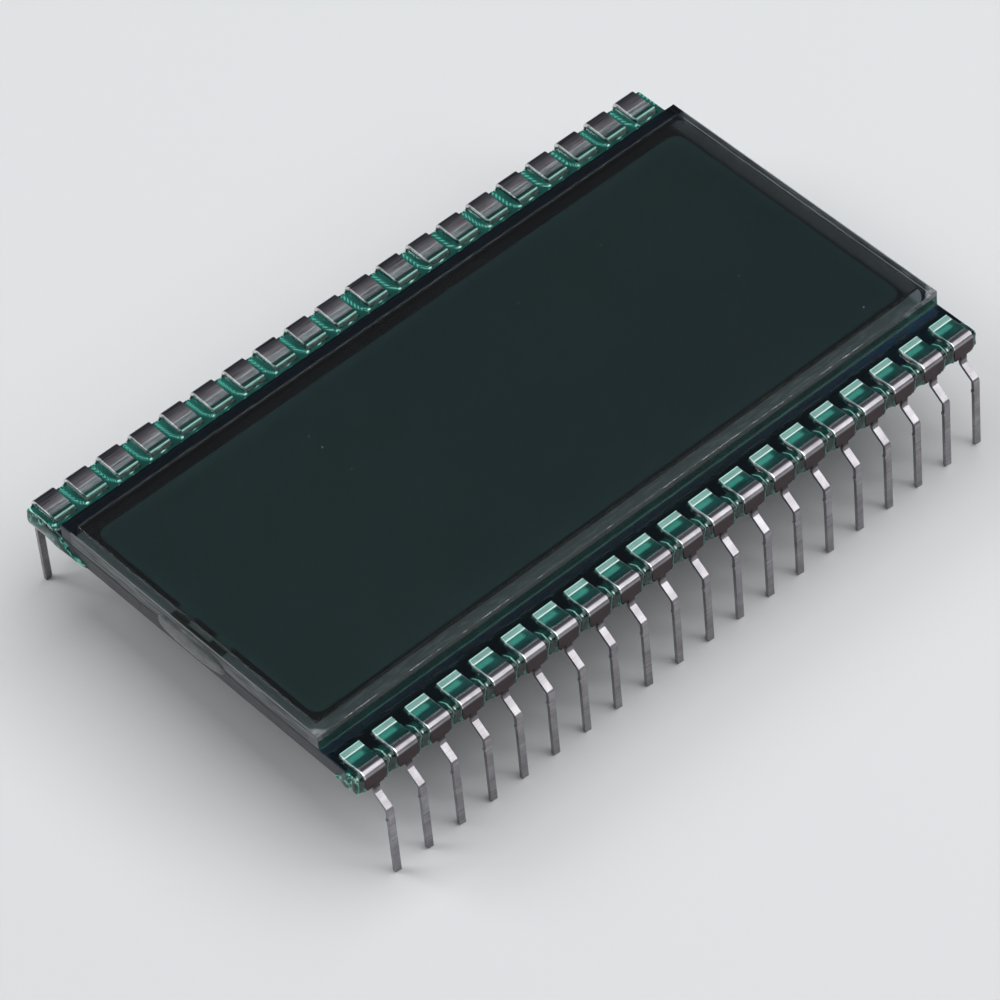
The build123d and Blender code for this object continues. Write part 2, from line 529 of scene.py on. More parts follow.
@dataclass(frozen=True)
class CellGlass:
    """Soda glass with ground marks on its scribed ends and chipped corners.

    Beyond shaded_y it takes another tint: painted light and shade that differ between the plate's two sides.
    A plate whose scribed_y, corner or shaded_y lies outside it has no such place.
    """

    name: str
    tint: Colour
    # Ground finish on the ends, real, in a near-black colour that is painted shade.
    frost: Colour = (0.014, 0.016, 0.02)
    half_length: float = 25.4
    edge: float = 0.12
    shaded_tint: Colour = (0.02, 0.045, 0.075)
    shaded_y: float = 99.0
    scribed_y: float = -99.0
    scribed_z: Point2 = (8.9, 9.05)
    scribed_share: float = 0.22
    chipped: Colour = (0.15, 0.15, 0.155)
    corner: Point2 = (99.0, 100.0)
    clarity: float = 1.0
    ground_clarity: float = 0.03
    roughness: Point2 = (0.02, 0.45)
    corner_share: float = 0.75
    index: float = 1.52

    def build(self) -> bpy.types.Material:
        """Make the material.

        Returns:
            The material.
        """
        shader = Shader(self.name)
        frost, corner = self._edge_share(shader), self._corner_share(shader)
        # Second tint beyond shaded_y: painted light and shade that differ between the plate's two sides.
        shaded = shader.along(shader.axis("Y"), self.shaded_y - 0.1, self.shaded_y)
        # Near-black frost colour on the ground ends: painted shade.
        body = shader.mix(frost, shader.mix(shaded, self.tint, self.shaded_tint), self.frost)
        shader.link(shader.mix(corner, body, self.chipped), shader.main.inputs["Base Color"])
        rough = shader.math("MAXIMUM", frost, corner)
        shader.link(shader.between(rough, 0, 1, *self.roughness), shader.main.inputs["Roughness"])
        clear = shader.between(rough, 0, 1, self.clarity, self.ground_clarity)
        shader.link(clear, shader.main.inputs["Transmission Weight"])
        shader.bump(shader.noise((4.0, 4.0, 9.0), 6.0), 0.006, 0.1)
        shader.put(IOR=self.index)
        shader.pass_lamps(tuple(math.sqrt(part) for part in self.tint))
        return shader.material

    def _corner_share(self, shader: Shader) -> Socket:
        """Share of pale chipped glass at the two near corners.

        Args:
            shader: the finish's node tree.

        Returns:
            The share, from 0 to 1.
        """
        size = shader.math("ABSOLUTE", shader.axis("X"))
        reach = shader.math("SUBTRACT", size, shader.axis("Y"))
        near = shader.along(reach, *self.corner, 0, self.corner_share)
        marks = shader.noise((3.0, 3.0, 3.0), 4.0)
        return shader.math("MULTIPLY", near, shader.between(marks, 0.35, 0.6, 0.3, 1))

    def _edge_share(self, shader: Shader) -> Socket:
        """Share of ground finish: streaky on the scribed ends, none on the polished faces.

        Args:
            shader: the finish's node tree.

        Returns:
            The share, from 0 to 1.
        """
        chips = shader.noise((1.6, 0.5, 9.0), 6.0)
        size = shader.math("ABSOLUTE", shader.axis("X"))
        near = shader.along(size, self.half_length - self.edge, self.half_length - 0.01)
        ends = shader.math("MULTIPLY", near, shader.between(chips, 0.36, 0.62, 0.7, 1.0))
        wall = shader.along(shader.axis("Y"), self.scribed_y + 0.06, self.scribed_y + 0.02)
        upper = shader.along(shader.axis("Z"), *self.scribed_z, 0, self.scribed_share)
        return shader.math("MAXIMUM", ends, shader.math("MULTIPLY", wall, upper))


@dataclass(frozen=True)
class FilmFinish:
    """Smooth polarizer film: clear enough to show the cell, with a grey cut edge and faint dust."""

    tint: Colour = (0.3, 0.31, 0.31)
    dust: Colour = (0.3, 0.3, 0.3)
    dust_scale: float = 0.35
    dust_size: Point2 = (0.014, 0.02)
    dusty_clarity: float = 0.1
    roughness: Point2 = (0.05, 0.1)
    index: float = 1.49

    def build(self) -> bpy.types.Material:
        """Make the material.

        Returns:
            The material.
        """
        shader = Shader("polarizer_film")
        specks = shader.node("ShaderNodeTexVoronoi", feature="F1")
        specks.inputs["Scale"].default_value = self.dust_scale
        shader.link(shader.place((1.0, 1.0, 1.0)), specks.inputs["Vector"])
        share = shader.between(specks.outputs["Distance"], *self.dust_size, 1, 0)
        shader.link(shader.mix(share, self.tint, self.dust), shader.main.inputs["Base Color"])
        clear = shader.between(share, 0, 1, 1.0, self.dusty_clarity)
        shader.link(clear, shader.main.inputs["Transmission Weight"])
        ripple = shader.noise((0.12, 0.12, 0.12), 2.0)
        shader.link(shader.between(ripple, 0.3, 0.7, *self.roughness), shader.main.inputs["Roughness"])
        shader.bump(ripple, 0.01, 0.1)
        shader.put(IOR=self.index)
        shader.pass_lamps(tuple(math.sqrt(part) for part in self.tint))
        return shader.material


@dataclass(frozen=True)
class DarkCell:
    """The switched-off cell between its crossed films: an even green grey, slightly bluer in the middle."""

    edge: Colour = (0.22, 0.42, 0.39)
    middle: Colour = (0.175, 0.34, 0.375)
    port: Colour = (0.02, 0.022, 0.022)
    port_x: float = -24.3

    def build(self) -> bpy.types.Material:
        """Make the material.

        Returns:
            The material.
        """
        shader = Shader("dark_cell")
        cloud = shader.noise((0.06, 0.06, 0.06), 2.0)
        view = shader.mix(shader.between(cloud, 0.35, 0.65), self.edge, self.middle)
        in_port = shader.along(shader.axis("X"), self.port_x, self.port_x - 0.1)
        shader.link(shader.mix(in_port, view, self.port), shader.main.inputs["Base Color"])
        shader.put(Roughness=0.6, Specular_IOR_Level=0.2)
        return shader.material


@dataclass(frozen=True)
class SealBorder:
    """Black border of the seal, grey where no film covers it, with one faint line to each pin."""

    ink: Colour = (0.03, 0.033, 0.036)
    line: Colour = (0.06, 0.062, 0.068)
    bare: Colour = (0.14, 0.155, 0.155)
    bare_streak: Colour = (0.24, 0.25, 0.25)
    pale: Colour = (0.3, 0.3, 0.31)
    bare_y: float = -10.66
    bare_x: float = -24.42
    pale_x: float = 24.2
    pitch: float = 2.54
    line_width: float = 0.09
    line_shift: float = 0.35
    blur: float = 0.03
    streak_range: Point2 = (0.5, 0.72)

    def build(self) -> bpy.types.Material:
        """Make the material.

        Returns:
            The material.
        """
        shader = Shader("seal_border")
        shifted = shader.math("ADD", shader.axis("X"), self.line_shift * MM)
        wrap = shader.math("PINGPONG", shifted, self.pitch / 2 * MM)
        share = shader.along(wrap, self.line_width, self.line_width / 2)
        lined = shader.mix(share, self.ink, self.line)
        beside = shader.along(shader.axis("Y"), self.bare_y + self.blur, self.bare_y - self.blur)
        before = shader.along(shader.axis("X"), self.bare_x + self.blur, self.bare_x - self.blur)
        bare = shader.mix(shader.math("MAXIMUM", beside, before), lined, self.bare)
        streaks = shader.noise((0.9, 5.0, 1.0), 5.0)
        marks = shader.math("MULTIPLY", shader.between(streaks, *self.streak_range), beside)
        marked = shader.mix(marks, bare, self.bare_streak)
        beyond = shader.along(shader.axis("X"), self.pale_x - 0.1, self.pale_x + 0.2)
        shader.link(shader.mix(beyond, marked, self.pale), shader.main.inputs["Base Color"])
        shader.put(Roughness=0.5, Specular_IOR_Level=0.1)
        return shader.material


@dataclass(frozen=True)
class TealResin:
    """Teal resin with a wet surface: clear over the fingers, milky where it stands thick.

    The mesh says where by its attribute "resin": red for milky, which also carries painted highlights, green
    for how strongly it tints, with painted shade in its upper half, and blue for painted highlights, white in
    its upper half.
    """

    thin: Colour = (0.055, 0.29, 0.25)
    thick: Colour = (0.022, 0.18, 0.155)
    milk: Colour = (0.035, 0.45, 0.34)
    # Painted highlight colour.
    lip: Colour = (0.42, 0.88, 0.74)
    clear: Colour = (0.8, 0.86, 0.86)
    # Painted shade colour, under the far finger tips and down the skirt.
    painted_dark: Colour = (0.004, 0.05, 0.046)
    # Painted white highlight colour.
    glint: Colour = (0.86, 0.96, 0.93)
    cloud_range: Point2 = (0.35, 0.65)
    milky_clarity: float = 0.15
    roughness: float = 0.04
    index: float = 1.5

    def build(self) -> bpy.types.Material:
        """Make the material.

        Returns:
            The material.
        """
        shader = Shader("teal_resin")
        painted = shader.node("ShaderNodeAttribute", attribute_name="resin")
        split = shader.node("ShaderNodeSeparateColor")
        shader.link(painted.outputs["Color"], split.inputs["Color"])
        milky, tinting = split.outputs["Red"], split.outputs["Green"]
        cloud = shader.noise((0.8, 0.8, 0.8), 4.0)
        body = shader.mix(shader.between(cloud, *self.cloud_range), self.thin, self.thick)
        body = shader.mix(shader.between(tinting, 0, 0.5, 1, 0), body, self.clear)
        # Painted shade where the tint runs above a half.
        body = shader.mix(shader.between(tinting, 0.5, 1), body, self.painted_dark)
        body = shader.mix(milky, body, self.milk)
        # Painted highlight colour, from blue up to a half.
        body = shader.mix(shader.between(split.outputs["Blue"], 0, 0.5), body, self.lip)
        # White painted highlights where blue runs above a half.
        glint = shader.between(split.outputs["Blue"], 0.5, 1)
        shader.link(shader.mix(glint, body, self.glint), shader.main.inputs["Base Color"])
        clear = shader.between(milky, 0, 1, 1.0, self.milky_clarity)
        shader.link(clear, shader.main.inputs["Transmission Weight"])
        shader.bump(shader.noise((1.1, 1.1, 1.1), 2.0), 0.02, 0.15)
        shader.put(Roughness=self.roughness, IOR=self.index)
        shader.pass_lamps(tuple(math.sqrt(part) for part in self.thin))
        return shader.material


@dataclass(frozen=True)
class PlugFinish:
    """Smooth cloudy plug resin."""

    body: Colour = (0.11, 0.12, 0.125)
    streak: Colour = (0.2, 0.21, 0.215)
    streak_range: Point2 = (0.4, 0.65)
    roughness: float = 0.14
    index: float = 1.5
    clarity: float = 0.35

    def build(self) -> bpy.types.Material:
        """Make the material.

        Returns:
            The material.
        """
        shader = Shader("plug_resin")
        cloud = shader.noise((1.2, 0.7, 1.6), 4.0)
        streaks = shader.between(cloud, *self.streak_range)
        shader.link(shader.mix(streaks, self.body, self.streak), shader.main.inputs["Base Color"])
        shader.bump(cloud, 0.03, 0.25)
        shader.put(Roughness=self.roughness, IOR=self.index, Transmission_Weight=self.clarity)
        return shader.material


@dataclass(frozen=True)
class PaleFloor:
    """Plain pale matt floor."""

    colour: Colour = (0.62, 0.63, 0.64)

    def build(self) -> bpy.types.Material:
        """Make the material.

        Returns:
            The material.
        """
        shader = Shader("pale_floor")
        shader.put(Base_Color=(*self.colour, 1), Roughness=0.9, Specular_IOR_Level=0.1)
        return shader.material


# Sub-assemblies


@dataclass
class GlassPlate:
    """One plate with polished faces and scribed, slightly chipped edges."""

    node: str
    finish: bpy.types.Material
    seed: int
    step: float = 0.16
    chip: float = 0.035
    wander: float = 0.012
    clearance: float = 0.003
    swell_share: float = 0.55
    spike_share: float = 0.6

    def build(self) -> bpy.types.Object:
        """Build the plate round its node's box.

        Returns:
            The plate's object.
        """
        low, high = (np.array(corner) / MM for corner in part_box(self.node))
        low[2] += self.clearance
        rim = self._rim(low, high)
        count = len(rim)
        rng = np.random.default_rng(self.seed)
        soft = self._wave(rng, count)
        rough = self._wave(rng, count)
        inset = self._pull(rim, low, high)
        rings = []
        for height, depth in (
            (low[2], self.chip * (0.5 + rough)),
            (low[2] + self.chip * 0.8, self.wander * soft),
            (high[2] - self.chip * (0.6 + rough), self.wander * rough),
            (high[2], self.chip * (0.5 + soft)),
        ):
            points = rim + inset * np.broadcast_to(depth, (count,))[:, None]
            rings.append(np.column_stack([points, np.broadcast_to(height, (count,))]))
        points = np.vstack(rings)
        faces = [tuple(range(count))[::-1], tuple(range(3 * count, 4 * count))]
        for ring in range(3):
            low_ring, high_ring = ring * count, (ring + 1) * count
            for index in range(count):
                after = (index + 1) % count
                faces.append((low_ring + index, low_ring + after, high_ring + after, high_ring + index))
        mesh = mesh_from(self.node, points, faces)
        return finished(f"{self.node}_plate", mesh, self.finish, 20, Slot.GLASS, self.node)

    def _rim(self, low: np.ndarray, high: np.ndarray) -> np.ndarray:
        """Points round the plate's outline, counterclockwise, corners included.

        Args:
            low: lowest corner.
            high: highest corner.

        Returns:
            Rows of x and y.
        """
        corners = [(low[0], low[1]), (high[0], low[1]), (high[0], high[1]), (low[0], high[1])]
        points = []
        for start, end in zip(corners, corners[1:] + corners[:1]):
            start, end = np.array(start), np.array(end)
            steps = max(2, round(float(np.linalg.norm(end - start)) / self.step))
            points += [start + (end - start) * index / steps for index in range(steps)]
        return np.array(points)

    @staticmethod
    def _pull(rim: np.ndarray, low: np.ndarray, high: np.ndarray) -> np.ndarray:
        """Inward direction at each rim point, diagonal at the corners.

        Args:
            rim: the rim's points.
            low: lowest corner.
            high: highest corner.

        Returns:
            Rows of x and y.
        """
        pull = np.zeros_like(rim)
        for axis in (0, 1):
            pull[:, axis] += np.isclose(rim[:, axis], low[axis])
            pull[:, axis] -= np.isclose(rim[:, axis], high[axis])
        return pull

    def _wave(self, rng: np.random.Generator, count: int) -> np.ndarray:
        """Uneven values round the rim, with long swells and sharp chips.

        Args:
            rng: the plate's random numbers.
            count: points of the rim.

        Returns:
            One value from 0 to 1 for each point.
        """
        swell = np.convolve(rng.random(count), np.ones(9) / 9, mode="same")
        spike = rng.random(count) ** 4
        return np.clip(self.swell_share * swell + self.spike_share * spike, 0, 1)


@dataclass
class PolarizerFilms:
    """Front and rear films, with a soft cut edge, crisp on the near side."""

    finish: bpy.types.Material
    edge: float = 0.04
    clearance: float = 0.004

    def build(self) -> None:
        """Build both films round their nodes' boxes."""
        for node in ("front_polarizer", "rear_polarizer"):
            low, high = (np.array(corner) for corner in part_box(node))
            low[2] += self.clearance * MM
            near = low[1] + TOUCH * MM
            mesh = bpy.data.meshes.new(node)
            with edited(mesh) as build:
                bmesh.ops.create_cube(build, size=1)
                bmesh.ops.scale(build, vec=Vector(high - low), verts=build.verts)
                bmesh.ops.translate(build, vec=Vector(low + high) / 2, verts=build.verts)
                soft = [edge for edge in build.edges if any(vert.co.y > near for vert in edge.verts)]
                bmesh.ops.bevel(
                    build, geom=soft, offset=self.edge * MM, segments=3, profile=0.5, affect="EDGES"
                )
            finished(f"{node}_film", mesh, self.finish, 10, Slot.POLARIZER, node)


@dataclass
class Cell:
    """What shows through the front film: the dark cell, its black border, the island and the plug."""

    nodes: dict[str, bpy.types.Object]
    dark: bpy.types.Material
    border: bpy.types.Material
    plug: bpy.types.Material
    bead_rows: int = 14
    bead_columns: int = 40
    bead_lap: float = 0.35
    bead_waver: float = 0.25
    seed: int = 5

    def build(self) -> None:
        """Dress the cell's nodes and build the plug's bead."""
        for node, finish in (
            ("liquid_crystal", self.dark),
            ("perimeter_seal", self.border),
            ("port_island", self.border),
        ):
            piece = self.nodes[node]
            piece.data.materials.clear()
            piece.data.materials.append(finish)
            LOG.info("%s: dressed", node)
        self._bead()

    def _bead(self) -> None:
        """Plug bead: a low swell over the joint, uneven along its length."""
        low, high = (np.array(corner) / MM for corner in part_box("end_seal"))
        face = high[0] - self.bead_lap
        rng = np.random.default_rng(self.seed)
        lumps = np.convolve(rng.random(self.bead_columns + 1), np.ones(5) / 5, mode="same")
        waver = 1 + self.bead_waver * (lumps - 0.5)
        points = []
        for column in range(self.bead_columns + 1):
            along = -1 + 2 * column / self.bead_columns
            round_end = math.sqrt(max(0.0, 1 - abs(along) ** 3))
            for row in range(self.bead_rows + 1):
                across = -1 + 2 * row / self.bead_rows
                swell = math.sqrt(max(0.0, 1 - across * across)) * round_end
                points.append(
                    (
                        face - (face - low[0]) * swell * min(1.0, waver[column]),
                        (low[1] + high[1]) / 2 + along * (high[1] - low[1]) / 2,
                        (low[2] + high[2]) / 2 + across * (high[2] - low[2]) / 2 * round_end,
                    )
                )
        wide = self.bead_rows + 1
        faces = [
            (c * wide + r, (c + 1) * wide + r, (c + 1) * wide + r + 1, c * wide + r + 1)
            for c in range(self.bead_columns)
            for r in range(self.bead_rows)
        ]
        mesh = mesh_from("plug_bead", np.array(points), faces)
        with edited(mesh) as build:
            bmesh.ops.holes_fill(build, edges=[edge for edge in build.edges if edge.is_boundary], sides=0)
            bmesh.ops.recalc_face_normals(build, faces=build.faces)
        finished("plug_bead", mesh, self.plug, 60, Slot.PLUG, "end_seal")


@dataclass
class PinRow:
    """One row of stamped clip pins, with round bends and softened edges."""

    side: Side
    finish: bpy.types.Material
    count: int = 20
    pitch: float = 2.54
    sheet: float = 0.25
    half_width: float = 0.8
    tip_half_width: float = 0.76
    half_leg: float = 0.24
    half_slot: float = 0.28
    half_jaw: float = 0.62
    tip: Point2 = (13.24, 8.45)
    contact: Point2 = (13.70, 8.375)
    web_v: float = 15.415
    web_top: float = 8.475
    jaw_z: float = 7.025
    jaw_end: float = 13.54
    branch_z: float = 7.2
    shoulder_z: float = 7.5
    knee_z: float = 6.5
    ankle_z: float = 5.65
    leg_v: float = 16.51
    leg_slant: float = 0.1
    stub_z: float = 4.8
    stub_half: float = 0.17
    stub_proud: float = 0.07
    edge_round: float = 0.075
    edge_angle: float = 50
    finger_bends: Point2 = (0.6, 0.25)
    jaw_bend: float = 0.17
    leg_bends: Point2 = (0.35, 0.35)
    web_from: float = 8.15
    web_rows: int = 12
    arc_steps: int = 7
    tilt: float = 0.07
    seed: int = 3

    def build(self) -> bpy.types.Object:
        """Build the row.

        Returns:
            The object that holds every pin of the row.
        """
        pin = add_object(f"pin_row_{self.side.name.lower()}", self._blank())
        solid = pin.modifiers.new("sheet", "SOLIDIFY")
        solid.thickness = self.sheet * MM
        solid.offset = 0
        solid.use_even_offset = True
        bevel = pin.modifiers.new("edges", "BEVEL")
        bevel.width = self.edge_round * MM
        bevel.segments = 2
        bevel.limit_method = "ANGLE"
        bevel.angle_limit = math.radians(self.edge_angle)
        baked(pin)
        if self.side is Side.NEAR:
            pin.data.transform(Matrix.Rotation(math.pi, 4, "Z"))
        pin.data.materials.append(self.finish)
        self._repeat(pin)
        baked(pin)
        shade(pin, 16)
        first = 1 if self.side is Side.NEAR else self.count + 1
        declare(pin, Slot.PIN, *[f"pin_{number:02d}" for number in range(first, first + self.count)])
        return pin

    def _blank(self) -> bpy.types.Mesh:
        """Middle surface of one pin of the far row: web and finger, two prongs and the leg.

        Returns:
            The pin's mesh.
        """
        clip = rounded_path(
            [self.tip, self.contact, (self.web_v, self.web_top), (self.web_v, self.branch_z)],
            list(self.finger_bends),
            self.arc_steps,
        )
        extra = [(self.web_v, z) for z in np.linspace(self.web_from, self.branch_z, self.web_rows)]
        web = clip[:-1] + extra
        points: list[Point3] = []
        faces: list[tuple[int, ...]] = []

        def strip(path: list[Point2], columns: list[list[float]]) -> None:
            """Add a strip of faces.

            Args:
                path: v and z of each row of its points.
                columns: the places along X of each row's points.
            """
            base, wide = len(points), len(columns[0])
            for (v, z), row in zip(path, columns):
                points.extend((x, v, z) for x in row)
            for r in range(len(path) - 1):
                for c in range(wide - 1):
                    a = base + r * wide + c
                    faces.append((a, a + 1, a + wide + 1, a + wide))

        columns = []
        for v, z in web:
            taper = min(1.0, max(0.0, (v - self.tip[0]) / 0.5))
            half = self.tip_half_width + (self.half_width - self.tip_half_width) * taper
            if z < self.shoulder_z:
                drop = (self.shoulder_z - z) / (self.shoulder_z - self.branch_z)
                half = self.half_jaw + (self.half_width - self.half_jaw) * math.sqrt(max(0.0, 1 - drop**2))
            columns.append(
                [-half, -self.half_jaw, -self.half_slot, -self.half_leg]
                + [self.half_leg, self.half_slot, self.half_jaw, half]
            )
        strip(web, columns)
        jaw = rounded_path(
            [(self.web_v, self.branch_z), (self.web_v, self.jaw_z), (self.jaw_end, self.jaw_z)],
            [self.jaw_bend],
            self.arc_steps,
        )
        for side in (-1, 1):
            strip(jaw, [sorted([side * self.half_slot, side * self.half_jaw])] * len(jaw))
        leg = rounded_path(
            [
                (self.web_v, self.branch_z),
                (self.web_v, self.knee_z),
                (self.leg_v, self.ankle_z),
                (self.leg_v, self.stub_z + self.stub_half),
            ],
            list(self.leg_bends),
            self.arc_steps,
        )
        leg += [(self.leg_v, self.stub_z - self.stub_half), (self.leg_v, 1.0), (self.leg_v, 0.0)]
        strip(leg, [[-self.half_leg, self.half_leg]] * len(leg))
        foot = len(points) - 1
        points[foot] = (self.half_leg, self.leg_v, self.leg_slant)
        top, low = self.stub_z + self.stub_half, self.stub_z - self.stub_half
        base = len(points)
        points += [
            (self.half_leg, self.leg_v, top),
            (self.half_leg, self.leg_v, low),
            (self.half_leg + self.stub_proud * 0.7, self.leg_v, low + 0.08),
            (self.half_leg + self.stub_proud, self.leg_v, top - 0.1),
        ]
        faces.append((base, base + 1, base + 2, base + 3))
        return mesh_from("pin", np.array(points), faces)

    def _repeat(self, pin: bpy.types.Object) -> None:
        """Repeat the pin along its row with a Geometry Nodes tree, each pin a hair out of line.

        Args:
            pin: the pin's object, which becomes the row.
        """
        tree = bpy.data.node_groups.new(f"pin_row_{self.side.name.lower()}", "GeometryNodeTree")
        ports = tree.interface
        ports.new_socket("Geometry", in_out="INPUT", socket_type="NodeSocketGeometry")
        sizes = {
            "Pins": ("NodeSocketInt", self.count),
            "Pitch": ("NodeSocketFloat", self.pitch * MM),
            "Tilt": ("NodeSocketFloat", math.radians(self.tilt)),
            "Seed": ("NodeSocketInt", self.seed),
            "Material": ("NodeSocketMaterial", self.finish),
        }
        keys = {
            name: ports.new_socket(name, in_out="INPUT", socket_type=kind).identifier
            for name, (kind, _) in sizes.items()
        }
        ports.new_socket("Geometry", in_out="OUTPUT", socket_type="NodeSocketGeometry")
        nodes, links = tree.nodes, tree.links
        given, result = nodes.new("NodeGroupInput"), nodes.new("NodeGroupOutput")

        step = nodes.new("ShaderNodeCombineXYZ")
        links.new(given.outputs["Pitch"], step.inputs["X"])
        half = nodes.new("ShaderNodeMath")
        half.operation = "MULTIPLY_ADD"
        links.new(given.outputs["Pins"], half.inputs[0])
        half.inputs[1].default_value = -0.5
        half.inputs[2].default_value = 0.5
        start_x = nodes.new("ShaderNodeMath")
        start_x.operation = "MULTIPLY"
        links.new(half.outputs["Value"], start_x.inputs[0])
        links.new(given.outputs["Pitch"], start_x.inputs[1])
        start = nodes.new("ShaderNodeCombineXYZ")
        links.new(start_x.outputs["Value"], start.inputs["X"])
        line = nodes.new("GeometryNodeMeshLine")
        links.new(given.outputs["Pins"], line.inputs["Count"])
        links.new(start.outputs["Vector"], line.inputs["Start Location"])
        links.new(step.outputs["Vector"], line.inputs["Offset"])

        turn = nodes.new("FunctionNodeRandomValue")
        turn.data_type = "FLOAT_VECTOR"
        for limit, sign in (("Min", -1), ("Max", 1)):
            most = nodes.new("ShaderNodeVectorMath")
            most.operation = "SCALE"
            most.inputs[0].default_value = (0.3 * sign, 0, sign)
            links.new(given.outputs["Tilt"], most.inputs["Scale"])
            links.new(most.outputs["Vector"], turn.inputs[limit])
        links.new(given.outputs["Seed"], turn.inputs["Seed"])

        copies = nodes.new("GeometryNodeInstanceOnPoints")
        links.new(line.outputs["Mesh"], copies.inputs["Points"])
        links.new(given.outputs["Geometry"], copies.inputs["Instance"])
        links.new(turn.outputs["Value"], copies.inputs["Rotation"])
        real = nodes.new("GeometryNodeRealizeInstances")
        links.new(copies.outputs["Instances"], real.inputs["Geometry"])
        paint = nodes.new("GeometryNodeSetMaterial")
        links.new(real.outputs["Geometry"], paint.inputs["Geometry"])
        links.new(given.outputs["Material"], paint.inputs["Material"])
        links.new(paint.outputs["Geometry"], result.inputs["Geometry"])

        row = pin.modifiers.new("row", "NODES")
        row.node_group = tree
        for name, (_, value) in sizes.items():
            row[keys[name]] = value


def paint_resin(mesh: bpy.types.Mesh, paint: np.ndarray) -> None:
    """Store the resin's paint.

    Args:
        mesh: the resin's mesh.
        paint: one row for each vertex: milkiness up to 1, strength of tint up to 2, painted shade above 1,
            painted highlight up to 2, white above 1.
    """
    layer = mesh.attributes.new("resin", "FLOAT_COLOR", "POINT")
    values = np.column_stack([np.clip(paint * (1, 0.5, 0.5), 0, 1), np.ones(len(paint))])
    layer.data.foreach_set("color", values.astype(np.float32).ravel())


class Spot(NamedTuple):
    """A small bead of light before a far tip: its place, its half sizes and its strength."""

    aside: float
    v: float
    wide: float
    tall: float
    strength: float


